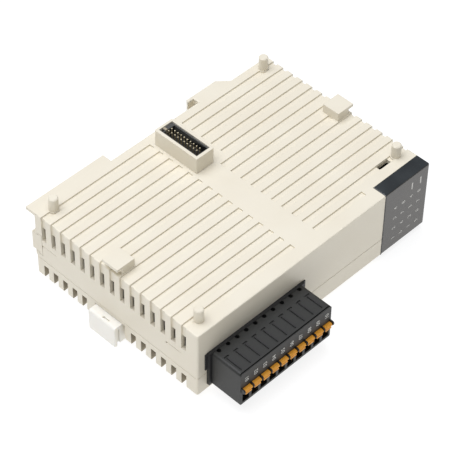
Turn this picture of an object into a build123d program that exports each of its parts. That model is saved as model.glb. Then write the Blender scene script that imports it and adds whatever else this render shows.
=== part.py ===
"""Expansion module for a small programmable controller, lying on its right side.

Lengths are in millimetres.  Every piece is drawn in the module's own corner frame:
  x runs from the vented end (0) to the indicator end (LENGTH),
  y runs from the front face (0) to the rail seat (DEPTH), the terminal plug is at y < 0,
  z runs from the right face (0) to the left face (WIDTH), along the mounting rail.
write_part moves a finished piece to the row frame, whose origin is the middle of the
bottom of the whole object.
"""
from build123d import *
import os

# ---------------------------------------------------------------- driving dimensions
LENGTH = 94.0
DEPTH = 65.2
WIDTH = 24.2
SEAM_Z = 6.7
SIDE_PLATE = 1.8
FRONT_WALL = 1.6
BACK_WALL = 1.8
VENT_WALL = 1.3
TOOTH_WALL = 1.8
CORNER_R = 0.6
SEAM_GROOVE = (0.2, 0.25)
SEAM_EDGE_R = 0.2
EDGE_R = 0.35

# cooling grooves on both side faces; groove k starts at GROOVE_FIRST_Y - k * GROOVE_PITCH
GROOVE_PITCH = 4.0
GROOVE_FIRST_Y = 62.2
GROOVE_COUNT = 15
GROOVE_WIDTH = 1.8
GROOVE_DEPTH = 0.5
BAND_X0 = 42.2
BAND_X1 = 51.0
HEADER_BAND_X1 = 55.0
HEADER_GROOVES = 5
SLOT_WIDTH = 1.75
LOWER_SLOT_WIDTH = 1.95
UPPER_SLOT_Z = (15.0, 19.95)
LOWER_SLOT_TOP = 4.7

# indicator window in the front corner of the far end
WINDOW_X = 74.85
WINDOW_DEPTH = 4.85
WINDOW_WALL = 1.3
PARTITION = 1.2
LED_PITCH_X = 3.4
LED_PITCH_Z = 4.1
LED_FIRST_X = 80.0
LED_FIRST_Z = 3.6
LED_ROWS = 4

# 35 mm rail: seat, fixed hook and sliding clip
RAIL_X0 = 29.9
RAIL_WIDTH = 35.0
HOOK_Y = 68.4
HOOK_SLOT_Y = 67.25
HOOK_X1 = 78.6
GUARD_X1 = 29.5
GUARD_Y = 68.4
GUARD_T = 1.05
CLIP_Z = (9.3, 15.9)
CLIP_BASE_Z = (8.7, 16.5)
CLIP_BASE_Y = (62.5, 63.9)
CLIP_Y = 66.5
CLIP_GAP = 0.15

# coupling to the neighbouring modules
PEG_POINTS = ((5.0, 62.2), (4.65, 4.2), (89.4, 62.2), (89.3, 9.0))
PEG_R = 1.45
PEG_FOOT_R = 1.65
PEG_H = 4.6
PEG_TIP = 0.3
PEG_HOLE_R = 1.6
PEG_HOLE_DEPTHS = (5.1, 4.85, 5.5, 5.25)
PEG_HOLE_FLOOR = 0.5
TAB_X = (-0.4, 6.0)
TAB_Y = (30.4, 36.5)
TAB_H = 3.0
TAB_OVERHANG = 1.9
TAB_LIP = 0.95
LATCH_Y = (29.8, 40.4)
LATCH_Z = (-2.1, 5.5)
LATCH_REACH = 2.9
LATCH_PLATE = 0.85
LATCH_GAP = 0.15
POCKET_Y = (28.7, 40.75)
POCKET_DEPTH = 9.0
POCKET_TOP = 5.7

# bus connectors, 2 x 10 contacts
SHROUD_X = (43.15, 50.05)
SHROUD_Y = (43.9, 61.1)
SHROUD_H = 5.75
SHROUD_WALL = 1.0
BUS_CENTRE = (46.75, 52.6)
BUS_PITCH = 1.27
BUS_COLUMNS = 10
BUS_PIN = 0.4
BUS_BODY_X = (44.2, 49.35)
BUS_BODY_Y = (44.95, 60.2)
BUS_WELL_Y1 = 58.9
BUS_WALL = 0.45
BUS_KEY = (0.8, 1.5)
BUS_FLOOR_Z = 26.6
BUS_TOP_Z = 29.5
BUS_PIN_TIP_Z = 29.7

# terminal header and plug, 10 poles
POLES = 10
POLE_PITCH = 3.5
PLUG_X = (4.45, 40.1)
POLE_MIDDLE = 22.35
PLUG_FRONT_Y = -11.9
PLUG_BACK_Y = -1.05
PLUG_Z = (2.4, 14.9)
PLUG_TOP_R = 0.9
HEADER_RIM_X = (3.55, 41.0)
HEADER_RIM_Z = (2.3, 14.95)
HEADER_EAR = (0.85, 0.35)
HEADER_EAR_Z = (8.7, 14.8)
HEADER_BOX_X = (4.6, 40.1)
HEADER_BOX_Z = (5.45, 14.4)
HEADER_BACK_Y = 9.0
HEADER_WALL = 0.75
SNOUT_GAP = 0.15
SNOUT_END_Y = 7.5
CONTACT_Z = 10.0
PIN_SIZE = 0.8
RIB_FRONT_Y = -13.3
RIB_T = 0.4
RIB_Z = (7.7, 9.25)
BUTTON_WIDTH = 2.9
BUTTON_Z = (7.6, 8.75)
BUTTON_FRONT_Y = -13.1
BUTTON_BACK_Y = -8.6
BUTTON_TRAVEL = 1.2
BUTTON_GAP = 0.08
ENTRY_SIZE = 2.6
ENTRY_Z = (3.15, 7.0)

# boards and what they carry
BOARD_X = (2.6, 91.4)
BOARD_Y = (10.5, 61.0)
BOARD_Z = (7.4, 9.0)
SOLDER_GAP = 0.05
POST_POINTS = ((7.0, 16.0), (87.0, 16.0), (7.0, 56.0), (87.0, 56.0))
POST_R = 2.6
SCREW_R = 0.9
PILOT_R = 0.95
RELAY_SIZE = (5.2, 20.0, 12.4)
RELAY_PITCH = 7.0
RELAY_FIRST_X = 13.0
RELAY_Y = 17.0

# the row frame's origin, seen from the module's corner frame
REACH_BACK = HOOK_Y
ROW_ORIGIN = (LENGTH / 2, (RIB_FRONT_Y + REACH_BACK) / 2, LATCH_Z[0])


# ---------------------------------------------------------------- helpers
def block(x, y, z):
    """Box between the pairs of limits x, y and z."""
    size = Box(x[1] - x[0], y[1] - y[0], z[1] - z[0])
    return Pos((x[0] + x[1]) / 2, (y[0] + y[1]) / 2, (z[0] + z[1]) / 2) * size


def post(point, radius, z):
    """Upright cylinder about point between the pair of limits z."""
    return Pos(point[0], point[1], (z[0] + z[1]) / 2) * Cylinder(radius, z[1] - z[0])


def far_side(shape):
    """Mirror image of shape at the other end of the module."""
    return mirror(shape, about=Plane.YZ.offset(LENGTH / 2))


def round_upright(shape, radius):
    """shape with every upright edge rounded."""
    return fillet(shape.edges().filter_by(Axis.Z), radius)


def as_group(solids):
    """One compound of separate solids."""
    return Compound(children=list(solids))


def write_part(name, shape):
    """Move shape to the row frame and write it as parts/name.step."""
    moved = Pos(-ROW_ORIGIN[0], -ROW_ORIGIN[1], -ROW_ORIGIN[2]) * shape
    moved.label = name
    export_step(moved, os.path.join("parts", name + ".step"))


def groove_ys():
    """Upper wall of every cooling groove, from the rail side to the front."""
    return [GROOVE_FIRST_Y - k * GROOVE_PITCH for k in range(GROOVE_COUNT)]


def pole_xs():
    """Middle of every terminal pole."""
    return [POLE_MIDDLE + (i - (POLES - 1) / 2) * POLE_PITCH for i in range(POLES)]


def led_points():
    """Middle of every indicator on the window's front face, as (x, z)."""
    return [(LED_FIRST_X + i * LED_PITCH_X, LED_FIRST_Z + j * LED_PITCH_Z)
            for i in range(LED_ROWS) for j in range(LED_ROWS)]


def bus_points():
    """Middle of every bus contact, as (x, y)."""
    x0, y0 = BUS_CENTRE
    return [(x0 + side * BUS_PITCH / 2, y0 + (i - (BUS_COLUMNS - 1) / 2) * BUS_PITCH)
            for side in (-1, 1) for i in range(BUS_COLUMNS)]


# ---------------------------------------------------------------- casing
def hook_outline(z):
    """Fixed rail hook: a lip over the rail's flange, between the limits z."""
    lip_x = RAIL_X0 + RAIL_WIDTH
    points = [(lip_x, DEPTH - 1.5), (lip_x, HOOK_SLOT_Y), (lip_x - 2.4, HOOK_SLOT_Y),
              (lip_x - 1.8, HOOK_Y), (HOOK_X1 - 3.6, HOOK_Y), (HOOK_X1, DEPTH),
              (HOOK_X1, DEPTH - 1.5)]
    face = make_face(Polyline(*points, close=True))
    return Pos(0, 0, z[0]) * extrude(face, z[1] - z[0])


def window_corner(grow=0.0):
    """The corner of the casing that the indicator window takes."""
    return block((WINDOW_X - grow, LENGTH + 1), (-1, WINDOW_DEPTH + grow), (-1, WIDTH + 1))


def light_opening():
    """Hole through the partition behind the window, for the light guide."""
    return block((77.2, 92.2), (WINDOW_DEPTH - 1, WINDOW_DEPTH + 2.5), (1.9, 21.9))


def casing_slab(z):
    """Solid slab of the casing between the limits z, with its hook and round corners."""
    return round_upright(block((0, LENGTH), (0, DEPTH), z), CORNER_R) + hook_outline(z)


def groove_cuts(face_z, depth):
    """Cutters for the cooling grooves of one side face."""
    z = (face_z - depth, face_z + depth)
    cuts = []
    for k, y in enumerate(groove_ys()):
        limits = (y - GROOVE_WIDTH, y)
        right_x0 = HEADER_BAND_X1 if k < HEADER_GROOVES else BAND_X1
        right_x1 = LENGTH + 1 if y > WINDOW_DEPTH + 2 else WINDOW_X - 3.4
        cuts.append(block((-1, BAND_X0), limits, z))
        cuts.append(block((right_x0, right_x1), limits, z))
    return cuts


def header_opening():
    """Cutter for the terminal header's hole in the front wall."""
    x = (HEADER_BOX_X[0] - 0.1, HEADER_BOX_X[1] + 0.1)
    z = (HEADER_BOX_Z[0] - 0.05, HEADER_BOX_Z[1] + 0.1)
    return block(x, (-1, FRONT_WALL + 1.5), z)


def coupling_tab():
    """L-shaped tab on the left face that the neighbour's latch holds."""
    top = WIDTH + TAB_H
    foot = block((TAB_X[0] + TAB_OVERHANG, TAB_X[1]), TAB_Y, (WIDTH - GROOVE_DEPTH - 0.3, top))
    lip = block(TAB_X, TAB_Y, (top - TAB_LIP, top))
    return foot + lip


def peg(point):
    """Alignment peg with a lead-in at its tip and a foot that is flush with the face."""
    body = post(point, PEG_R, (WIDTH - GROOVE_DEPTH - 0.3, WIDTH + PEG_H))
    body = chamfer(body.edges().group_by(Axis.Z)[-1], PEG_TIP)
    return body + post(point, PEG_FOOT_R, (WIDTH - GROOVE_DEPTH - 0.3, WIDTH))


def seam_groove():
    """Cutter for the shadow line above the seam, at both ends and along the front."""
    height, depth = SEAM_GROOVE
    z = (SEAM_Z - 0.01, SEAM_Z + height)
    outside = block((-1, LENGTH + 1), (-1, DEPTH - 0.5), z)
    inside = block((depth, LENGTH - depth), (depth, DEPTH + 1), (SEAM_Z - 1, SEAM_Z + 1))
    return outside - inside


def bus_shroud():
    """Upright collar round the bus header, with a keying rib inside."""
    z = (WIDTH - GROOVE_DEPTH - 0.3, WIDTH + SHROUD_H)
    return round_upright(block(SHROUD_X, SHROUD_Y, z), 0.25)


def bus_key(gap, top):
    """Keying rib inside the bus collar up to the height top, grown by gap."""
    x0 = SHROUD_X[0] + SHROUD_WALL + 1.5
    y1 = SHROUD_Y[1] - 0.5
    return block((x0 - gap, x0 + BUS_KEY[0] + gap), (y1 - BUS_KEY[1] - gap, y1), (WIDTH - 1, top))


def bus_opening(z):
    """Cutter for the inside of the bus collar."""
    x = (SHROUD_X[0] + SHROUD_WALL, SHROUD_X[1] - 0.65)
    y = (SHROUD_Y[0] + SHROUD_WALL, SHROUD_Y[1] - 0.8)
    return block(x, y, z)


def upper_slots():
    """Recesses and slots at one end of the left cover."""
    cuts = []
    for y in groove_ys():
        limits = (y - GROOVE_WIDTH, y)
        cuts.append(block((-1, GROOVE_DEPTH), limits, (UPPER_SLOT_Z[0], WIDTH + 1)))
        slot = (y - SLOT_WIDTH, y - 0.05)
        cuts.append(block((-1, VENT_WALL + 0.8), slot, UPPER_SLOT_Z))
    return cuts


def snap_marks():
    """Fine witness lines of the two snap windows on the vented end."""
    cuts = []
    for y_right in (56.4, 6.1):
        line = block((-1, 0.2), (y_right, y_right + 5.6), (12.7, 12.87))
        dot = Pos(0, y_right + 5.8, 12.55) * (Rot(0, 90, 0) * Cylinder(0.35, 1.6))
        cuts += [line, dot]
    return cuts


def clip_channel():
    """Solid that carries the rail clip, and the T-shaped cutter inside it."""
    rail = block((0, 32), (61.2, DEPTH), (CLIP_BASE_Z[0] - 1.2, CLIP_BASE_Z[1] + 1.2))
    base = block((-1, 31.6), (CLIP_BASE_Y[0] - CLIP_GAP, CLIP_BASE_Y[1] + CLIP_GAP),
                 (CLIP_BASE_Z[0] - CLIP_GAP, CLIP_BASE_Z[1] + CLIP_GAP))
    neck = block((-1, 31.6), (CLIP_BASE_Y[0], DEPTH + 1),
                 (CLIP_Z[0] - CLIP_GAP, CLIP_Z[1] + CLIP_GAP))
    return rail, base + neck


def make_left_cover():
    """Deep upper shell with grooves, slots, pegs, tabs and the bus collar."""
    z = (SEAM_Z, WIDTH)
    cover = casing_slab(z)
    cover = fillet(cover.faces().sort_by(Axis.Z)[-1].edges(), EDGE_R)
    cavity = block((VENT_WALL, LENGTH - VENT_WALL), (FRONT_WALL, DEPTH - BACK_WALL),
                   (SEAM_Z - 1, WIDTH - SIDE_PLATE))
    cavity -= window_corner(PARTITION)
    cover -= cavity
    channel, channel_cut = clip_channel()
    cover += channel
    cover += block((0, GUARD_X1), (DEPTH - 1, GUARD_Y), (WIDTH - GUARD_T, WIDTH))
    cover += coupling_tab()
    cover += far_side(coupling_tab())
    for point in PEG_POINTS:
        cover += peg(point)
    cover += bus_shroud()
    cover -= bus_opening((WIDTH - 5, WIDTH + SHROUD_H + 1))
    cover += bus_key(0.0, WIDTH + SHROUD_H - 0.4)
    keep = coupling_tab() + far_side(coupling_tab()) + bus_shroud()
    for point in PEG_POINTS:
        keep += peg(point)
    cutters = groove_cuts(WIDTH, GROOVE_DEPTH) + upper_slots()
    cutters += [far_side(cut) for cut in upper_slots()[:-2]]
    cover -= [cut - keep for cut in cutters]
    cover -= snap_marks()
    cover -= seam_groove()
    cover -= channel_cut
    cover -= header_opening()
    cover -= window_corner()
    cover -= light_opening()
    cover -= block((82.1, 86.8), (8.3, 10.1), (WIDTH - 3, WIDTH + 1))
    return cover


def latch_pocket():
    """Cutter for the space that one coupling latch slides in."""
    return block((-1, POCKET_DEPTH), POCKET_Y, (-1, POCKET_TOP))


def lower_slots():
    """Open-ended slots of the right shell's vented end, either side of the latch."""
    ys = [y for y in groove_ys() if not POCKET_Y[0] - 2 < y < POCKET_Y[1] + 3.8]
    return [block((-1, TOOTH_WALL + 0.8), (y - LOWER_SLOT_WIDTH, y), (-1, LOWER_SLOT_TOP))
            for y in ys]


def make_right_shell():
    """Shallow lower shell with the open slots, latch pockets and peg sockets."""
    z = (0, SEAM_Z)
    shell = casing_slab(z)
    shell = fillet(shell.faces().sort_by(Axis.Z)[0].edges(), EDGE_R)
    shell = fillet(shell.faces().sort_by(Axis.Z)[-1].edges(), SEAM_EDGE_R)
    cavity = block((TOOTH_WALL, LENGTH - TOOTH_WALL), (FRONT_WALL, DEPTH - BACK_WALL),
                   (SIDE_PLATE, SEAM_Z + 1))
    cavity -= window_corner(PARTITION)
    housing = block((0, POCKET_DEPTH + 1), (POCKET_Y[0] - 1, POCKET_Y[1] + 1), (0, SEAM_Z - 0.05))
    cavity -= housing
    cavity -= far_side(housing)
    for point, depth in zip(PEG_POINTS, PEG_HOLE_DEPTHS):
        cavity -= post(point, PEG_HOLE_R + 1.0, (0, depth + PEG_HOLE_FLOOR))
    shell -= cavity
    for point in POST_POINTS:
        shell += post(point, POST_R, (SIDE_PLATE - 0.5, BOARD_Z[0]))
    cutters = groove_cuts(0, GROOVE_DEPTH)
    cutters += lower_slots()
    cutters += [far_side(cut) for cut in lower_slots()[:-1]]
    cutters += [latch_pocket(), far_side(latch_pocket())]
    cutters += [post(point, PEG_HOLE_R, (-1, depth))
                for point, depth in zip(PEG_POINTS, PEG_HOLE_DEPTHS)]
    cutters += [post(point, PILOT_R, (SIDE_PLATE, BOARD_Z[0] + 1)) for point in POST_POINTS]
    cutters += [bus_opening((-1, SIDE_PLATE + 1)), header_opening()]
    cutters += [window_corner(), light_opening()]
    shell -= cutters
    return shell


def make_indicator_window():
    """Smoked cap that wraps the front corner of the far end."""
    outer = block((WINDOW_X + 0.1, LENGTH), (0, WINDOW_DEPTH - 0.1), (0, WIDTH))
    corner = outer.edges().filter_by(Axis.Z).sort_by(Axis.X)[-2:].sort_by(Axis.Y)[0]
    outer = fillet(corner, CORNER_R)
    rim = outer.edges().group_by(Axis.Z)
    outer = fillet(ShapeList(rim[0] + rim[-1]).filter_by(lambda e: e.center().Y < 4.5), EDGE_R)
    inner = block((WINDOW_X + WINDOW_WALL, LENGTH - WINDOW_WALL),
                  (WINDOW_WALL, WINDOW_DEPTH + 1), (WINDOW_WALL, WIDTH - WINDOW_WALL))
    return outer - inner


def make_light_guide():
    """Black lattice that keeps the light of each indicator apart."""
    guide = block((77.4, 92.0), (WINDOW_WALL + 0.2, 4.7), (2.1, 21.7))
    tunnels = [block((x - 1.2, x + 1.2), (0, 8), (z - 1.5, z + 1.5)) for x, z in led_points()]
    return guide - tunnels


# ---------------------------------------------------------------- coupling parts
def make_coupling_latch():
    """Nylon latch of the vented end: pull plate, bridge and two guided cheeks."""
    x0 = -LATCH_REACH
    plate = block((x0, x0 + LATCH_PLATE), LATCH_Y, LATCH_Z)
    bridge = block((x0, POCKET_DEPTH - 3.5), LATCH_Y, (LATCH_Z[1] - 1.2, LATCH_Z[1]))
    latch = plate + bridge
    front_edge = latch.edges().filter_by(Axis.Y).group_by(Axis.X)[0].sort_by(Axis.Z)[-1]
    latch = fillet(front_edge, 0.8)
    for y, inward in ((LATCH_Y[0], 0.6), (LATCH_Y[1] - 0.5, -0.6)):
        limits = (y, y + 0.5)
        latch += block((-0.95, 1.3), limits, (LATCH_Z[0] + 0.65, LATCH_Z[1]))
        latch += block((1.0, POCKET_DEPTH - 3.5), limits, (1.9, LATCH_Z[1]))
        web = (y + inward, y + inward + 0.5)
        latch += block((x0, 0.0), web, (LATCH_Z[0] + 0.65, LATCH_Z[1] - 0.5))
    latch += block((0.0, 1.3), LATCH_Y, (0.95, 1.75))
    finger_slot = block((-2.2, -1.5), (33.1, 35.6), (LATCH_Z[1] - 0.7, LATCH_Z[1] + 1))
    return latch - finger_slot


def make_rail_clip():
    """Sliding clip that holds the rail's lower flange, with a screwdriver slot."""
    base = block((0.0, 30.9), CLIP_BASE_Y, CLIP_BASE_Z)
    neck = block((0.0, 30.9), (CLIP_BASE_Y[1] - 0.5, DEPTH), CLIP_Z)
    back = block((0.0, GUARD_X1 - 0.4), (DEPTH - 0.1, CLIP_Y), CLIP_Z)
    tip_x = RAIL_X0 + 1.5
    beak = make_face(Polyline((25.0, CLIP_Y - 0.2), (RAIL_X0 - 0.4, CLIP_Y - 0.2),
                              (tip_x, CLIP_Y - 0.2), (tip_x, CLIP_Y + 0.5),
                              (RAIL_X0, HOOK_Y - 0.2), (26.5, HOOK_Y - 0.2), close=True))
    clip = base + neck + back + Pos(0, 0, CLIP_Z[0]) * extrude(beak, CLIP_Z[1] - CLIP_Z[0])
    slot = block((1.2, 2.3), (CLIP_Y - 1.5, CLIP_Y + 1), (CLIP_Z[0] + 1.6, CLIP_Z[1] - 1.6))
    return clip - slot


# ---------------------------------------------------------------- terminal block
def make_terminal_header():
    """Black header in the front wall that the plug pushes into."""
    rim = block(HEADER_RIM_X, (PLUG_BACK_Y + 0.05, 0), HEADER_RIM_Z)
    out, thick = HEADER_EAR
    rim += block((HEADER_RIM_X[0] - out, HEADER_RIM_X[1] + out), (-thick, 0), HEADER_EAR_Z)
    body = block(HEADER_BOX_X, (-0.1, HEADER_BACK_Y), HEADER_BOX_Z)
    cavity = block((HEADER_BOX_X[0] + HEADER_WALL, HEADER_BOX_X[1] - HEADER_WALL),
                   (PLUG_BACK_Y - 1, HEADER_BACK_Y - 1.0),
                   (HEADER_BOX_Z[0] + HEADER_WALL, HEADER_BOX_Z[1] - HEADER_WALL))
    half = PIN_SIZE / 2
    holes = [block((x - half, x + half), (7, 10), (CONTACT_Z - half, CONTACT_Z + half))
             for x in pole_xs()]
    return rim + body - cavity - holes


def make_header_pins():
    """Ten square pins from the header to the main board."""
    half = PIN_SIZE / 2
    pins = []
    for x in pole_xs():
        along = block((x - half, x + half), (1.5, 12.2), (CONTACT_Z - half, CONTACT_Z + half))
        foot = BOARD_Z[1] + SOLDER_GAP
        down = block((x - half, x + half), (11.4, 12.2), (foot, CONTACT_Z))
        pins.append(along + down)
    return as_group(pins)


def snout_limits():
    """Limits x and z of the plug's snout inside the header."""
    step = HEADER_WALL + SNOUT_GAP
    x = (HEADER_BOX_X[0] + step, HEADER_BOX_X[1] - step)
    z = (HEADER_BOX_Z[0] + step, HEADER_BOX_Z[1] - step)
    return x, z


def pole_cuts(x):
    """Cutters for one pole of the plug: button pocket, wire entry, chamber and top marks."""
    half = BUTTON_WIDTH / 2 + BUTTON_GAP
    button_z = (BUTTON_Z[0] - BUTTON_GAP, BUTTON_Z[1] + BUTTON_GAP)
    wire = (x - ENTRY_SIZE / 2, x + ENTRY_SIZE / 2)
    top = PLUG_Z[1]
    back_y = BUTTON_BACK_Y + BUTTON_TRAVEL + 0.1
    return [
        block((x - half, x + half), (RIB_FRONT_Y - 1, back_y), button_z),
        block(wire, (RIB_FRONT_Y - 1, -4.5), ENTRY_Z),
        block((x - 1.1, x + 1.1), (-6.9, -2.3), (ENTRY_Z[0], CONTACT_Z + 1.2)),
        block((x - 0.9, x + 0.9), (-3.0, SNOUT_END_Y + 1), (CONTACT_Z - 0.9, CONTACT_Z + 0.9)),
        Pos(x, -1.55, top) * Cylinder(0.65, 3.0),
        block((x - 0.95, x - 0.4), (-10.6, -4.3), (top - 0.35, top + 1)),
        block((x - 0.95, x + 0.7), (-4.8, -4.3), (top - 0.35, top + 1)),
    ]


def make_plug_body():
    """Housing of the pluggable terminal block."""
    main = block(PLUG_X, (PLUG_FRONT_Y, PLUG_BACK_Y), PLUG_Z)
    main = fillet(main.edges().filter_by(Axis.Y).group_by(Axis.Z)[-1], PLUG_TOP_R)
    main = fillet(main.edges().filter_by(Axis.Y).group_by(Axis.Z)[0], 0.4)
    x, z = snout_limits()
    snout = block(x, (PLUG_BACK_Y - 0.1, SNOUT_END_Y), z)
    body = main + snout
    for i in range(POLES + 1):
        rib_x = pole_xs()[0] + (i - 0.5) * POLE_PITCH
        rib = block((rib_x - RIB_T / 2, rib_x + RIB_T / 2), (RIB_FRONT_Y, PLUG_FRONT_Y + 0.5), RIB_Z)
        front = rib.edges().filter_by(Axis.X).group_by(Axis.Y)[0]
        body += fillet(front, 0.7)
    cuts = [cut for x in pole_xs() for cut in pole_cuts(x)]
    cuts.append(block((PLUG_X[0] - 1, PLUG_X[1] + 1), (PLUG_FRONT_Y + 0.2, PLUG_FRONT_Y + 0.55),
                      (PLUG_Z[1] - 0.5, PLUG_Z[1] + 1)))
    return body - cuts


def make_push_button(x):
    """Release button of one pole: a rounded thumb face over a small lip with one corner cut."""
    limits = (x - BUTTON_WIDTH / 2, x + BUTTON_WIDTH / 2)
    body = block(limits, (BUTTON_FRONT_Y, BUTTON_BACK_Y), BUTTON_Z)
    thumb_edge = body.edges().filter_by(Axis.X).group_by(Axis.Y)[0].sort_by(Axis.Z)[-1]
    body = fillet(thumb_edge, 0.6)
    lip = block(limits, (RIB_FRONT_Y + 0.02, BUTTON_FRONT_Y + 0.4), (BUTTON_Z[0], BUTTON_Z[0] + 0.4))
    notch = block((limits[1] - 0.6, limits[1] + 1), (RIB_FRONT_Y - 1, BUTTON_FRONT_Y + 0.7),
                  (BUTTON_Z[0] - 1, BUTTON_Z[0] + 0.5))
    return body + lip - notch


def make_plug_contacts():
    """Ten tubular contacts that grip the header's pins."""
    tubes = []
    for x in pole_xs():
        tube = block((x - 0.8, x + 0.8), (-2.9, 6.9), (CONTACT_Z - 0.8, CONTACT_Z + 0.8))
        tubes.append(tube - block((x - 0.5, x + 0.5), (0.5, 8), (CONTACT_Z - 0.5, CONTACT_Z + 0.5)))
    return as_group(tubes)


def make_clamp_springs():
    """Ten bent strips that press the wire against its contact."""
    springs = []
    for x in pole_xs():
        path = make_face(Polyline((-6.5, 3.5), (-6.2, 3.5), (-6.2, 8.6), (-3.4, 5.0), (-3.15, 5.2),
                                  (-6.1, 9.1), (-6.5, 9.1), close=True))
        profile = Plane.YZ * path
        springs.append(Pos(x - 0.8, 0, 0) * extrude(profile, 1.6, dir=(1, 0, 0)))
    return as_group(springs)


# ---------------------------------------------------------------- bus connectors
def square_pins(z):
    """Square contact pins of the bus between the limits z."""
    half = BUS_PIN / 2
    return [block((x - half, x + half), (y - half, y + half), z) for x, y in bus_points()]


def make_bus_header():
    """Tall box header of the left face."""
    x, y = BUS_BODY_X, BUS_BODY_Y
    body = block(x, y, (BOARD_Z[1], BUS_TOP_Z))
    well = block((x[0] + BUS_WALL, x[1] - BUS_WALL), (y[0] + BUS_WALL, BUS_WELL_Y1),
                 (BUS_FLOOR_Z, BUS_TOP_Z + 1))
    recess = block((x[0] - 1, x[0] + 1.2), (BUS_WELL_Y1 + 0.3, y[1] + 1), (BUS_TOP_Z - 1.2, BUS_TOP_Z + 1))
    key_x = SHROUD_X[0] + SHROUD_WALL + 1.5
    notch = block((key_x - 0.1, key_x + BUS_KEY[0] + 0.1), (BUS_WELL_Y1 - 0.1, y[1] + 1),
                  (BUS_FLOOR_Z, BUS_TOP_Z + 1))
    body -= [well, recess, notch, bus_key(0.1, WIDTH + 9)]
    return body - square_pins((BOARD_Z[1] - 1, BUS_TOP_Z + 1))


def make_bus_header_pins():
    """Twenty gold pins of the bus header, down to the main board."""
    tips = []
    for pin in square_pins((BOARD_Z[1], BUS_PIN_TIP_Z)):
        tips.append(chamfer(pin.edges().group_by(Axis.Z)[-1], 0.05))
    return as_group(tips)


def make_bus_socket():
    """Socket of the right face that takes the next module's header."""
    x0, y0 = BUS_CENTRE
    body = block((x0 - 2.0, x0 + 2.0), (y0 - 6.9, y0 + 6.9), (1.0, BOARD_Z[0]))
    half = BUS_PIN / 2 + 0.1
    holes = [block((x - half, x + half), (y - half, y + half), (0, BOARD_Z[0] + 1))
             for x, y in bus_points()]
    return body - holes


def make_bus_socket_contacts():
    """Twenty spring contacts inside the bus socket."""
    half = BUS_PIN / 2
    return as_group(block((x - half, x + half), (y + half - 0.1, y + half + 0.1), (2.2, BOARD_Z[0]))
                    for x, y in bus_points())


# ---------------------------------------------------------------- electronics
def make_main_board():
    """Main circuit board on the four posts of the right shell."""
    board = round_upright(block(BOARD_X, BOARD_Y, BOARD_Z), 1.0)
    return board - [post(point, SCREW_R + 0.3, (BOARD_Z[0] - 1, BOARD_Z[1] + 1))
                    for point in POST_POINTS]


def make_board_screws():
    """Four pan-head screws that hold the main board."""
    screws = []
    for point in POST_POINTS:
        head = post(point, 1.9, (BOARD_Z[1] + SOLDER_GAP, BOARD_Z[1] + 1.3))
        head = fillet(head.edges().group_by(Axis.Z)[-1], 0.5)
        recess = block((point[0] - 1.1, point[0] + 1.1), (point[1] - 0.25, point[1] + 0.25),
                       (BOARD_Z[1] + 0.7, BOARD_Z[1] + 2))
        cross = block((point[0] - 0.25, point[0] + 0.25), (point[1] - 1.1, point[1] + 1.1),
                      (BOARD_Z[1] + 0.7, BOARD_Z[1] + 2))
        screws.append(head + post(point, SCREW_R, (3.0, BOARD_Z[1] + 0.1)) - recess - cross)
    return as_group(screws)


def make_relay(i):
    """Slim output relay number i."""
    x0 = RELAY_FIRST_X + i * RELAY_PITCH
    case = block((x0, x0 + RELAY_SIZE[0]), (RELAY_Y, RELAY_Y + RELAY_SIZE[1]),
                 (BOARD_Z[1], BOARD_Z[1] + RELAY_SIZE[2]))
    case = round_upright(case, 0.4)
    return fillet(case.edges().group_by(Axis.Z)[-1], 0.3)


def chip(x, y, height):
    """Flat package on the main board with a pin-one dimple."""
    body = block(x, y, (BOARD_Z[1] + 0.1, BOARD_Z[1] + height))
    body = chamfer(body.edges().group_by(Axis.Z)[-1], 0.15)
    return body - post((x[0] + 0.9, y[0] + 0.9), 0.35, (BOARD_Z[1] + height - 0.1, BOARD_Z[1] + 9))


def chip_with_legs(x, y, height, legs, leg_t=0.3):
    """Flat package with a row of legs along both long sides."""
    body = chip(x, y, height)
    pitch = (y[1] - y[0] - 1.0) / (legs - 1)
    for i in range(legs):
        leg_y = y[0] + 0.5 + i * pitch
        body += block((x[0] - 0.9, x[1] + 0.9), (leg_y - leg_t / 2, leg_y + leg_t / 2),
                      (BOARD_Z[1], BOARD_Z[1] + 0.35))
    return body


def make_optocouplers():
    """Four input optocouplers."""
    return as_group(chip_with_legs((56 + 7 * i, 60.6 + 7 * i), (14, 18.6), 2.3, 2, 0.6)
                    for i in range(4))


def make_power_converter():
    """Isolated supply: a ferrite block on a bobbin."""
    core = round_upright(block((70, 82.5), (27, 39.5), (BOARD_Z[1] + 1.2, BOARD_Z[1] + 9.2)), 0.6)
    bobbin = block((69, 83.5), (29, 37.5), (BOARD_Z[1], BOARD_Z[1] + 1.2))
    return core + bobbin


def make_capacitors():
    """Two upright electrolytic capacitors."""
    cans = []
    for point in ((65.0, 51.5), (75.5, 51.5)):
        can = post(point, 4.0, (BOARD_Z[1], BOARD_Z[1] + 11.0))
        cans.append(fillet(can.edges().group_by(Axis.Z)[-1], 0.6))
    return as_group(cans)


def make_surge_suppressors():
    """Four disc suppressors, one across each relay's contact."""
    discs = []
    for i in range(4):
        x = RELAY_FIRST_X + RELAY_SIZE[0] / 2 + i * RELAY_PITCH
        disc = Pos(x, 41.0, BOARD_Z[1] + 3.6) * (Rot(0, 90, 0) * Cylinder(3.5, 2.2))
        disc = fillet(disc.edges(), 0.5)
        leg = (BOARD_Z[1] + SOLDER_GAP, BOARD_Z[1] + 1)
        discs.append(disc + block((x - 0.3, x + 0.3), (40.7, 41.3), leg))
    return as_group(discs)


def make_led_board():
    """Small upright board behind the indicator window."""
    return block((77.4, 92.0), (4.8, 5.8), (2.1, 21.7))


def make_indicator_leds():
    """Sixteen indicators on the small board."""
    return as_group(block((x - 0.8, x + 0.8), (4.0, 4.8), (z - 0.5, z + 0.5))
                    for x, z in led_points())


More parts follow.
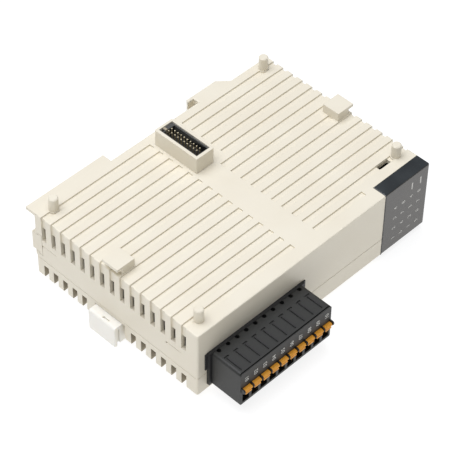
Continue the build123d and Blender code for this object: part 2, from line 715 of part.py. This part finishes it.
def make_led_board_pins():
    """Right-angle pins between the two boards."""
    pins = []
    for i in range(8):
        x = 77.5 + i * 1.8
        along = block((x - 0.25, x + 0.25), (5.8, 12.0), (10.8, 11.3))
        pins.append(along + block((x - 0.25, x + 0.25), (11.5, 12.0), (BOARD_Z[1] + SOLDER_GAP, 11.0)))
    return as_group(pins)


# ---------------------------------------------------------------- the object
def main():
    """Write every piece of the module."""
    os.makedirs("parts", exist_ok=True)
    write_part("left_cover", make_left_cover())
    write_part("right_shell", make_right_shell())
    write_part("indicator_window", make_indicator_window())
    write_part("light_guide", make_light_guide())
    write_part("rail_clip", make_rail_clip())
    write_part("coupling_latch_near", make_coupling_latch())
    write_part("coupling_latch_far", far_side(make_coupling_latch()))
    write_part("bus_header", make_bus_header())
    write_part("bus_header_pins", make_bus_header_pins())
    write_part("bus_socket", make_bus_socket())
    write_part("bus_socket_contacts", make_bus_socket_contacts())
    write_part("terminal_header", make_terminal_header())
    write_part("terminal_header_pins", make_header_pins())
    write_part("plug_body", make_plug_body())
    write_part("plug_contacts", make_plug_contacts())
    write_part("plug_clamp_springs", make_clamp_springs())
    for i, x in enumerate(pole_xs()):
        write_part("push_button_%02d" % (i + 1), make_push_button(x))
    write_part("main_board", make_main_board())
    write_part("board_screws", make_board_screws())
    for i in range(4):
        write_part("relay_%d" % (i + 1), make_relay(i))
    write_part("input_optocouplers", make_optocouplers())
    write_part("bus_controller_chip", chip_with_legs((56.5, 63.5), (38, 45), 1.5, 10))
    write_part("relay_driver_chip", chip_with_legs((14, 18), (48, 58), 1.7, 8))
    write_part("power_converter", make_power_converter())
    write_part("electrolytic_capacitors", make_capacitors())
    write_part("surge_suppressors", make_surge_suppressors())
    write_part("led_board", make_led_board())
    write_part("indicator_leds", make_indicator_leds())
    write_part("led_board_pins", make_led_board_pins())


if __name__ == "__main__":
    main()
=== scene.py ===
"""Studio scene of a rail-mounted expansion module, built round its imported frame.

Sizes are in millimetres in the module's own corner frame: x from the vented end to the
indicator end, y from the front face to the mounting rail, z from the right face to the left
face. CORNER moves them to the frame's own origin, and MM turns them to metres.
"""
from __future__ import annotations

import logging
import math
from dataclasses import dataclass, field
from enum import Enum
from typing import Callable

import bpy
from mathutils import Euler, Matrix, Vector


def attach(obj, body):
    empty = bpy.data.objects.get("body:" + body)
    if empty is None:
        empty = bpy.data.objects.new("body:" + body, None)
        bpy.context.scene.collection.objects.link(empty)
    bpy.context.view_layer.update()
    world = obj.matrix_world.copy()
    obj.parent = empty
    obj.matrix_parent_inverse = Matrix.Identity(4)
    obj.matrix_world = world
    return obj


LOG = logging.getLogger("module")
MM = 0.001
CORNER = Vector((-47.0, -27.55, 2.1))

# The module: its length over the casing, its poles and relays, and the layer of ink on it.
LENGTH = 94.0
POLES = 10
POLE_PITCH = 3.5
RELAYS = 4
INK_THICKNESS = 0.01

# Uneven patches that every moulded surface has: their size, the share of the noise that they
# blend over, and how far the gloss varies with them.
PATCH_SIZE = 14.0
PATCH_RANGE = (0.3, 0.65)
GLOSS_SPREAD = 0.07
BUMP_STRENGTH = 0.6
# How far light wanders inside a milky plastic, and how much of red, green and blue does.
SCATTER_DEPTH = 0.6
SCATTER_TINT = (1.0, 0.92, 0.8)
WHITE = (1.0, 1.0, 1.0, 1.0)


def place(x: float, y: float, z: float) -> Vector:
    """Turn a point of the module's corner frame to metres in the row frame."""
    return (Vector((x, y, z)) + CORNER) * MM


def linear(hex_colour: str) -> tuple[float, float, float, float]:
    """Turn an sRGB hex colour to linear light.

    Args:
        hex_colour: Six hex digits after a hash sign.

    Returns:
        Red, green, blue and a full alpha.
    """
    channels = [int(hex_colour[i:i + 2], 16) / 255 for i in (1, 3, 5)]
    light = [c / 12.92 if c <= 0.04045 else ((c + 0.055) / 1.055) ** 2.4 for c in channels]
    return (light[0], light[1], light[2], 1.0)


def add_node(tree: bpy.types.NodeTree, kind: str, settings: dict[str, object] | None = None,
             **links: bpy.types.NodeSocket) -> bpy.types.Node:
    """Add a shader node, set its properties and sockets, and link its inputs.

    Args:
        tree: Node tree of a material or a world.
        kind: Blender's name of the node type.
        settings: Properties by name, and input sockets' values by the socket's name.
        links: Output sockets to link, by the input's name with underscores for spaces.

    Returns:
        The new node.
    """
    node = tree.nodes.new(kind)
    for name, value in (settings or {}).items():
        if name in node.inputs:
            node.inputs[name].default_value = value
        else:
            setattr(node, name, value)
    for name, source in links.items():
        tree.links.new(source, node.inputs[name.replace("_", " ")])
    return node


class Grain(Enum):
    """How a moulded or machined surface was textured; the value is the grain size in mm."""

    SPARK_ERODED = 0.55
    POLISHED = 6.0
    CERAMIC = 0.9
    ROLLED = 1.6


@dataclass(frozen=True)
class Finish:
    """A solid, evenly coloured material with its real surface texture.

    Attributes:
        name: Common name of the material and how its surface was made.
        colour: sRGB hex colour.
        shade: sRGB hex colour of the small uneven patches.
        roughness: Microsurface roughness.
        ior: Refractive index; metals keep the default.
        metallic: 1 for bare metal.
        grain: How the surface was textured.
        relief: Height of the texture in mm.
        edge: Radius in mm by which light rolls over the edges.
        subsurface: Share of light that wanders inside.
        transmission: Share of light that passes through.
        glow: Strength of the light it gives off itself.
    """

    name: str
    colour: str
    shade: str
    roughness: float = 0.45
    ior: float = 1.5
    metallic: float = 0.0
    grain: Grain = Grain.SPARK_ERODED
    relief: float = 0.01
    edge: float = 0.12
    subsurface: float = 0.0
    transmission: float = 0.0
    glow: float = 0.0

    def material(self) -> bpy.types.Material:
        """Make this finish's material on first use.

        Returns:
            The material, the same one for every piece that has this finish.
        """
        made = bpy.data.materials.get(self.name)
        if made is not None:
            return made
        made = bpy.data.materials.new(self.name)
        made.use_nodes = True
        tree = made.node_tree
        tree.nodes.clear()
        where = add_node(tree, "ShaderNodeTexCoord")
        patches = add_node(tree, "ShaderNodeTexNoise",
                           {"Scale": 1 / (PATCH_SIZE * MM), "Detail": 3.0},
                           Vector=where.outputs["Object"])
        grain = add_node(tree, "ShaderNodeTexNoise",
                         {"Scale": 1 / (self.grain.value * MM), "Detail": 2.0},
                         Vector=where.outputs["Object"])
        colour = add_node(tree, "ShaderNodeValToRGB", None, Fac=patches.outputs["Fac"])
        colour.color_ramp.elements[0].position = PATCH_RANGE[0]
        colour.color_ramp.elements[0].color = linear(self.shade)
        colour.color_ramp.elements[1].position = PATCH_RANGE[1]
        colour.color_ramp.elements[1].color = linear(self.colour)
        gloss = add_node(tree, "ShaderNodeMapRange",
                         {"To Min": self.roughness * (1 - GLOSS_SPREAD),
                          "To Max": self.roughness * (1 + GLOSS_SPREAD)},
                         Value=patches.outputs["Fac"])
        rounded = add_node(tree, "ShaderNodeBevel", {"samples": 4, "Radius": self.edge * MM})
        bump = add_node(tree, "ShaderNodeBump",
                        {"Strength": BUMP_STRENGTH, "Distance": self.relief * MM},
                        Height=grain.outputs["Fac"], Normal=rounded.outputs["Normal"])
        settings = {"IOR": self.ior, "Metallic": self.metallic,
                    "Subsurface Weight": self.subsurface,
                    "Subsurface Scale": SCATTER_DEPTH * MM, "Subsurface Radius": SCATTER_TINT,
                    "Transmission Weight": self.transmission,
                    "Emission Strength": self.glow, "Emission Color": WHITE}
        shader = add_node(tree, "ShaderNodeBsdfPrincipled", settings,
                          Base_Color=colour.outputs["Color"], Roughness=gloss.outputs["Result"],
                          Normal=bump.outputs["Normal"])
        add_node(tree, "ShaderNodeOutputMaterial", None, Surface=shader.outputs["BSDF"])
        return made


# Moulded PC/ABS from a spark-eroded tool: satin, with a broad soft highlight.
CASING = Finish("moulded_pc_abs_ivory", "#E6DFCD", "#E3DBC8", 0.42, 1.57, relief=0.012)
# The same, browner and dull, on the sides of the vent teeth and the collar rib: painted shade
# for narrow gaps that shade themselves.
PAINTED_SHADE_CASING = Finish("moulded_pc_abs_ivory_painted_shade", "#A69B85", "#988E78", 0.6, 1.57)
# Polished smoked polycarbonate over the pale light guide: a slightly brown gloss.
WINDOW = Finish("polished_smoked_polycarbonate", "#4C4843", "#44413D", 0.12, 1.58,
                grain=Grain.POLISHED, relief=0.0, transmission=0.15)
# The same on its top and sides, painted blue-black as painted shade, and mirror-like.
WINDOW_PAINTED_SHADE = Finish("polished_smoked_polycarbonate_painted_shade", "#3B4043", "#1E2225", 0.08, 1.58,
                     grain=Grain.POLISHED, relief=0.0, transmission=0.15)
# Black moulded nylon: dull and light-swallowing, for the light guide and the headers.
# The same black is also painted shade in the bus header's well and on the plug's pole bands.
BLACK_NYLON = Finish("moulded_black_nylon", "#1B1B1C", "#171718", 0.5, 1.53)
# Glass-filled nylon: anthracite with a fine dry texture.
PLUG_NYLON = Finish("glass_filled_nylon_anthracite", "#212220", "#1F1F1D", 0.52, 1.53)
# The same on the thin ribs between the buttons: worn smooth, and painted black as painted
# shade.
RIB_NYLON_PAINTED_SHADE = Finish("glass_filled_nylon_painted_shade", "#0C0C0C", "#090909", 0.45, 1.53)
# A warm, dark, dull sheet behind the vents: painted shade for the dark inside of the casing.
VENT_SHADE_SHEET = Finish("vent_painted_shade_sheet", "#2C2519", "#261F14", 0.75, 1.5,
                    grain=Grain.CERAMIC)
# Dark grey PBT of the bus header: dull; its well is painted black as painted shade, which
# leaves the rim as a light edge.
HEADER_PBT = Finish("moulded_pbt_dark_grey", "#4A4A48", "#444442", 0.5, 1.55)
# Moulded orange PBT: a clean satin colour.
ORANGE_PBT = Finish("moulded_pbt_orange", "#E6A032", "#E29B2C", 0.4, 1.55)
# Natural nylon: milky white, lit a little from inside.
NATURAL_NYLON = Finish("moulded_natural_nylon", "#F6F3EB", "#F2EFE6", 0.38, 1.53,
                       subsurface=0.2)
# Gold flash on brass: pale warm metal.
GOLD = Finish("gold_flashed_brass", "#F5EACB", "#F0E4C2", 0.45, metallic=1.0,
              grain=Grain.ROLLED, relief=0.002, edge=0.05)
# Tinned copper alloy: pale soft metal.
TIN = Finish("tinned_copper_alloy", "#C9C8C4", "#C0BFBB", 0.32, metallic=1.0,
             grain=Grain.ROLLED, relief=0.003, edge=0.05)
# Rolled stainless strip: bright and slightly streaky.
STAINLESS = Finish("rolled_stainless_strip", "#BDBCB8", "#B2B1AD", 0.3, metallic=1.0,
                   grain=Grain.ROLLED, relief=0.003, edge=0.05)
# Zinc-plated steel: cool bright metal.
ZINC = Finish("zinc_plated_steel", "#B4B7B8", "#A8ABAC", 0.35, metallic=1.0,
              grain=Grain.ROLLED, relief=0.003, edge=0.08)
# Solder mask over glass laminate: deep green gloss.
BOARD = Finish("solder_masked_laminate", "#1E5A3C", "#1A5236", 0.3, 1.5, relief=0.004)
# Moulded relay case: dark grey satin.
RELAY_CASE = Finish("moulded_relay_case", "#45494F", "#40444A", 0.4, 1.55)
# Moulded epoxy of a chip package: matt black.
EPOXY = Finish("moulded_epoxy", "#232324", "#1F1F20", 0.6, 1.55)
# Ground ferrite: dark grey ceramic with a dull sheen.
FERRITE = Finish("ground_ferrite", "#3A3A3D", "#343437", 0.5, 2.0, grain=Grain.CERAMIC)
# Shrink sleeve on an aluminium can: dark gloss.
SLEEVE = Finish("pet_shrink_sleeve", "#2A2D3A", "#262935", 0.22, 1.57, grain=Grain.POLISHED)
# Dipped epoxy on a disc suppressor: blue gloss.
DIPPED_EPOXY = Finish("dipped_epoxy_blue", "#2C4F94", "#284888", 0.28, 1.55)
# Diffused epoxy lens of an indicator: pale milky green.
LENS = Finish("diffused_epoxy_lens", "#D8E6CE", "#D2E0C8", 0.25, 1.5, subsurface=0.3)
# Pad-printed ink: flat off-white.
WHITE_INK = Finish("pad_printed_white_ink", "#D9D8D2", "#D4D3CD", 0.6, 1.5, relief=0.0,
                   edge=0.02)
# Opal acrylic lit from below: plain pale light, which keeps the shadows faint.
LIGHT_TABLE = Finish("opal_acrylic_light_table", "#828282", "#808080", 0.6, relief=0.0,
                     glow=0.85)

# Where the accents of painted shade lie: the lower vent teeth, the rib in the bus collar, the
# row of buttons, the well of the bus header, and how far a face's normal leans before it counts
# as sideways.
TOOTH_TOP = 4.75
TOOTH_DEPTH = 2.0
TEETH_Y = (1.0, 64.0)
RIB_BOX = ((44.5, 58.0, 24.5), (47.5, 60.05, 29.6))
BUTTON_ROW_Y = -11.92
WELL_TOP = 28.2
SIDEWAYS = 0.7


@dataclass(frozen=True)
class Accent:
    """A second finish on some faces of a node: a darker colour painted there as painted shade.

    Attributes:
        finish: The finish.
        takes: Whether a face has it, from its middle in the corner frame and its normal.
    """

    finish: Finish
    takes: Callable[[Vector, Vector], bool]


def between_teeth(at: Vector, normal: Vector) -> bool:
    """Tell the sides of the lower vent teeth, which take painted shade, from the rest of the
    right shell.
    """
    in_wall = at.x <= TOOTH_DEPTH or at.x >= LENGTH - TOOTH_DEPTH
    in_row = at.z < TOOTH_TOP and TEETH_Y[0] < at.y < TEETH_Y[1]
    return in_wall and in_row and abs(normal.y) > SIDEWAYS


def keying_rib(at: Vector, normal: Vector) -> bool:
    """Tell the rib in the bus collar, which takes painted shade, from the rest of the left
    cover.
    """
    return all(low < value < high for low, value, high in zip(RIB_BOX[0], at, RIB_BOX[1]))


def window_side(at: Vector, normal: Vector) -> bool:
    """Tell the sides of the indicator window, which take painted shade, from its front."""
    return abs(normal.y) < SIDEWAYS


def button_ribs(at: Vector, normal: Vector) -> bool:
    """Tell the ribs between the buttons, which take painted shade, from the rest of the plug.
    """
    return at.y < BUTTON_ROW_Y


def header_well(at: Vector, normal: Vector) -> bool:
    """Tell the well of the bus header, which takes painted shade, from its rim."""
    return at.z < WELL_TOP


# Every accent paints shade: a darker colour on the faces of a node that lie in shade.
ACCENTS: dict[str, Accent] = {
    "right_shell": Accent(PAINTED_SHADE_CASING, between_teeth),
    "left_cover": Accent(PAINTED_SHADE_CASING, keying_rib),
    "indicator_window": Accent(WINDOW_PAINTED_SHADE, window_side),
    "plug_body": Accent(RIB_NYLON_PAINTED_SHADE, button_ribs),
    "bus_header": Accent(BLACK_NYLON, header_well),
}

NODE_FINISHES: dict[str, Finish] = {
    "left_cover": CASING, "right_shell": CASING, "rail_clip": CASING,
    "indicator_window": WINDOW, "light_guide": BLACK_NYLON,
    "coupling_latch_near": NATURAL_NYLON, "coupling_latch_far": NATURAL_NYLON,
    "bus_header": HEADER_PBT, "bus_header_pins": GOLD, "bus_socket": BLACK_NYLON,
    "bus_socket_contacts": GOLD, "terminal_header": BLACK_NYLON, "terminal_header_pins": TIN,
    "plug_body": PLUG_NYLON, "plug_contacts": TIN, "plug_clamp_springs": STAINLESS,
    "main_board": BOARD, "board_screws": ZINC, "input_optocouplers": EPOXY,
    "bus_controller_chip": EPOXY, "relay_driver_chip": EPOXY, "power_converter": FERRITE,
    "electrolytic_capacitors": SLEEVE, "surge_suppressors": DIPPED_EPOXY,
    "led_board": BOARD, "indicator_leds": LENS, "led_board_pins": GOLD,
}
NODE_FINISHES.update({f"relay_{i + 1}": RELAY_CASE for i in range(RELAYS)})
NODE_FINISHES.update({f"push_button_{i + 1:02d}": ORANGE_PBT for i in range(POLES)})


def dress_node(name: str, finish: Finish, accent: Accent | None = None) -> None:
    """Give a frame node its finish.

    Args:
        name: Name of the node.
        finish: Finish for all of it that the accent leaves.
        accent: A second finish and the faces that take it.
    """
    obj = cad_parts[name]
    obj.data.materials.clear()
    obj.data.materials.append(finish.material())
    if accent is not None:
        obj.data.materials.append(accent.finish.material())
        for face in obj.data.polygons:
            corner = obj.matrix_world @ face.center / MM - CORNER
            face.material_index = int(accent.takes(corner, face.normal))
    LOG.info("%s dressed in %s", name, finish.name)


def add_piece(name: str, mesh: bpy.types.Mesh, finish: Finish, body: str) -> bpy.types.Object:
    """Add a piece that rides on a body of the frame.

    Args:
        name: Name of the piece.
        mesh: Its mesh in the row frame, in metres.
        finish: Finish for all of it.
        body: Body it rides on.

    Returns:
        The new piece.
    """
    obj = bpy.data.objects.new(name, mesh)
    bpy.context.scene.collection.objects.link(obj)
    mesh.materials.clear()
    mesh.materials.append(finish.material())
    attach(obj, body)
    return obj


def box_mesh(name: str, low: tuple[float, float, float],
             high: tuple[float, float, float]) -> bpy.types.Mesh:
    """Make a closed box between two corners of the module's corner frame.

    Args:
        name: Name of the mesh.
        low: Smallest x, y and z in mm.
        high: Largest x, y and z in mm.

    Returns:
        The mesh in metres.
    """
    points = [place(x, y, z) for x in (low[0], high[0]) for y in (low[1], high[1])
              for z in (low[2], high[2])]
    mesh = bpy.data.meshes.new(name)
    mesh.from_pydata(points, [], [(0, 1, 3, 2), (4, 6, 7, 5), (0, 4, 5, 1), (2, 3, 7, 6),
                                  (0, 2, 6, 4), (1, 5, 7, 3)])
    return mesh


def printed(name: str, text: str, size: float, at: Matrix, finish: Finish,
            body: str) -> bpy.types.Object:
    """Print a numeral on a surface.

    Args:
        name: Name of the piece.
        text: Digits to print.
        size: Height of the digits' line in mm.
        at: Place and turn of the print, +Z out of the surface.
        finish: Ink.
        body: Body it rides on.

    Returns:
        The new piece.
    """
    curve = bpy.data.curves.new(name, "FONT")
    curve.body = text
    curve.size = size * MM
    curve.align_x = "CENTER"
    curve.align_y = "CENTER"
    curve.extrude = INK_THICKNESS * MM
    maker = bpy.data.objects.new(name + "_outline", curve)
    bpy.context.scene.collection.objects.link(maker)
    bpy.context.view_layer.update()
    mesh = bpy.data.meshes.new_from_object(maker.evaluated_get(
        bpy.context.evaluated_depsgraph_get()))
    bpy.data.objects.remove(maker)
    bpy.data.curves.remove(curve)
    mesh.transform(at)
    return add_piece(name, mesh, finish, body)


def upright_print(x: float, y: float, z: float) -> Matrix:
    """Return the place of a print on a face that looks along -Y, read from below upwards.

    Args:
        x: Middle of the print in mm.
        y: Face of the print in mm.
        z: Middle of the print in mm.

    Returns:
        The matrix from the flat text to the face.
    """
    stand = Euler((math.pi / 2, 0, 0)).to_matrix().to_4x4()
    quarter = Matrix.Rotation(math.pi / 2, 4, "Z")
    return Matrix.Translation(place(x, y - INK_THICKNESS, z)) @ stand @ quarter


def pole_x(middle: float, pole: int) -> float:
    """Return where a pole stands along x, from the middle of the row and its place in it."""
    return middle + (pole - (POLES - 1) / 2) * POLE_PITCH


@dataclass
class TerminalPrint:
    """White two-digit pole numbers on the front strip of the plug."""

    middle_x: float = 22.65
    front_y: float = -11.9
    strip_z: float = 11.75
    height: float = 2.0

    def build(self) -> None:
        """Print one number over each pole."""
        for i in range(POLES):
            x = pole_x(self.middle_x, i)
            printed(f"pole_number_{i + 1:02d}", f"{i + 1:02d}", self.height,
                    upright_print(x, self.front_y, self.strip_z), WHITE_INK,
                    "terminal_plug")


@dataclass
class PoleShadeBands:
    """Dull black strips beside the engraved pole marks on the plug's top: painted shade that
    widens the marks.
    """

    middle_x: float = 22.35
    x: tuple[float, float] = (-0.4, 0.1)
    y: tuple[float, float] = (-10.5, -4.9)
    top_z: float = 14.9
    thickness: float = 0.006

    def build(self) -> None:
        """Lay one strip on each pole."""
        for i in range(POLES):
            middle = pole_x(self.middle_x, i)
            name = f"pole_shade_band_{i + 1:02d}"
            mesh = box_mesh(name, (middle + self.x[0], self.y[0], self.top_z - self.thickness),
                            (middle + self.x[1], self.y[1], self.top_z + self.thickness))
            # Each strip is painted shade in black nylon.
            add_piece(name, mesh, BLACK_NYLON, "terminal_plug")


@dataclass
class WindowPrint:
    """Small marks on the front of the indicator window and the dark seal at its joint."""

    rows: int = 4
    pitch_x: float = 3.4
    pitch_z: float = 4.1
    first_x: float = 80.0
    first_z: float = 3.6
    height: float = 2.0
    bars: tuple[tuple[float, float], ...] = ((86.7, 20.1), (90.4, 20.0))
    bar_width: float = 0.5
    bar_length: float = 2.6
    bar_sink: float = 0.02
    seal_low: tuple[float, float, float] = (74.88, -0.02, 0.05)
    seal_high: tuple[float, float, float] = (75.3, 4.8, 24.15)

    def build(self) -> None:
        """Print one number in front of each indicator, two bars over them, and the seal."""
        for i in range(self.rows):
            for j in range(self.rows):
                at = upright_print(self.first_x + i * self.pitch_x, 0.0,
                                   self.first_z + j * self.pitch_z)
                digit = str(j + 1 + self.rows * (i % 2))
                printed(f"indicator_number_{i}{j}", digit, self.height, at, WHITE_INK,
                        "module")
        for k, (x, z) in enumerate(self.bars):
            name = f"group_bar_{k}"
            mesh = box_mesh(name,
                            (x - self.bar_width / 2, -INK_THICKNESS,
                             z - self.bar_length / 2),
                            (x + self.bar_width / 2, self.bar_sink,
                             z + self.bar_length / 2))
            add_piece(name, mesh, WHITE_INK, "module")
        seal = box_mesh("window_seal", self.seal_low, self.seal_high)
        add_piece("window_seal", seal, BLACK_NYLON, "module")


@dataclass
class VentShadeSheets:
    """Thin dark sheets behind the vent slots at both ends: painted shade for the dark inside of
    the casing.
    """

    inset: float = 2.05
    thickness: float = 0.25
    near_y: tuple[float, float] = (2.0, 60.8)
    far_y: tuple[float, float] = (11.0, 60.8)
    z: tuple[float, float] = (9.2, 22.2)

    def build(self) -> None:
        """Stand one sheet at each end."""
        far_x = LENGTH - self.inset - self.thickness
        for name, x, y in (("vent_shade_sheet_near", self.inset, self.near_y),
                           ("vent_shade_sheet_far", far_x, self.far_y)):
            mesh = box_mesh(name, (x, y[0], self.z[0]), (x + self.thickness, y[1], self.z[1]))
            add_piece(name, mesh, VENT_SHADE_SHEET, "module")


@dataclass
class Studio:
    """Pale floor, soft lights and the camera."""

    aim: tuple[float, float, float] = (42.66, 29.86, 12.0)
    distance: float = 580.26
    azimuth: float = -46.057
    elevation: float = 46.098
    roll: float = 0.99
    lens: float = 158.8
    sensor: float = 36.0
    farthest: float = 50000.0
    floor_side: float = 6000.0
    room_light: float = 0.26
    lights: list[tuple[str, tuple[float, float, float], float, float]] = field(
        default_factory=lambda: [
            ("overhead_softbox", (-150.0, 100.0, 900.0), 900.0, 9.8),
            ("vent_side_softbox", (-900.0, 200.0, 350.0), 700.0, 0.15),
        ])
    cool_light: tuple[float, float, float] = (0.98, 0.995, 1.05)

    def build(self) -> None:
        """Make the floor, the world, the lights and the camera."""
        self._floor()
        self._world()
        for name, at, side, power in self.lights:
            self._light(name, at, side, power)
        self._camera()

    def _floor(self) -> None:
        """Lay a plain pale light table under the module; its glow keeps the shadows faint."""
        half = self.floor_side * MM / 2
        mesh = bpy.data.meshes.new("floor")
        mesh.from_pydata([(-half, -half, 0), (half, -half, 0), (half, half, 0),
                          (-half, half, 0)], [], [(0, 1, 2, 3)])
        floor = bpy.data.objects.new("floor", mesh)
        bpy.context.scene.collection.objects.link(floor)
        mesh.materials.append(LIGHT_TABLE.material())

    def _world(self) -> None:
        """Light the room evenly from all round."""
        world = bpy.data.worlds.new("white_room")
        world.use_nodes = True
        back = world.node_tree.nodes["Background"]
        back.inputs["Color"].default_value = WHITE
        back.inputs["Strength"].default_value = self.room_light
        bpy.context.scene.world = world

    def _light(self, name: str, at: tuple[float, float, float], side: float,
               power: float) -> None:
        """Hang one square soft light that faces the module.

        Args:
            name: Name of the light.
            at: Place in mm.
            side: Side of the square in mm.
            power: Power in watts.
        """
        lamp = bpy.data.lights.new(name, "AREA")
        lamp.size = side * MM
        lamp.energy = power
        lamp.color = self.cool_light
        obj = bpy.data.objects.new(name, lamp)
        bpy.context.scene.collection.objects.link(obj)
        obj.location = Vector(at) * MM
        obj.rotation_euler = (-obj.location).to_track_quat("-Z", "Y").to_euler()

    def _camera(self) -> None:
        """Set up the camera at the module's usual catalogue angle."""
        turn = math.radians(self.azimuth)
        rise = math.radians(self.elevation)
        ahead = Vector((-math.sin(turn) * math.cos(rise), math.cos(turn) * math.cos(rise),
                        -math.sin(rise)))
        camera = bpy.data.cameras.new("camera")
        camera.lens = self.lens
        camera.sensor_width = self.sensor
        camera.clip_end = self.farthest * MM
        obj = bpy.data.objects.new("camera", camera)
        bpy.context.scene.collection.objects.link(obj)
        level = ahead.to_track_quat("-Z", "Y").to_matrix()
        tilt = Matrix.Rotation(-math.radians(self.roll), 3, ahead)
        turned = (tilt @ level).to_4x4()
        turned.translation = place(*self.aim) - ahead * self.distance * MM
        obj.matrix_world = turned
        bpy.context.scene.camera = obj


def main() -> None:
    """Dress the frame, add the prints and set up the studio."""
    logging.basicConfig(level=logging.INFO, format="%(name)s: %(message)s")
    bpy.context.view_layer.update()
    for name, finish in NODE_FINISHES.items():
        dress_node(name, finish, ACCENTS.get(name))
    for assembly in (TerminalPrint(), PoleShadeBands(), WindowPrint(), VentShadeSheets(), Studio()):
        assembly.build()
        LOG.info("%s built", type(assembly).__name__)
    bpy.context.scene.view_settings.view_transform = "Standard"


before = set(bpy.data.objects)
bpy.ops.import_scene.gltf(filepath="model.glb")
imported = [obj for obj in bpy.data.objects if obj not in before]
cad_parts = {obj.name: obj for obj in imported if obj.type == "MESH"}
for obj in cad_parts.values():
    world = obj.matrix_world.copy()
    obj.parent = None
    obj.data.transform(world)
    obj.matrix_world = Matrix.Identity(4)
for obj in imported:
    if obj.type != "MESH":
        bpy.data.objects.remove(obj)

if __name__ == "__main__":
    main()
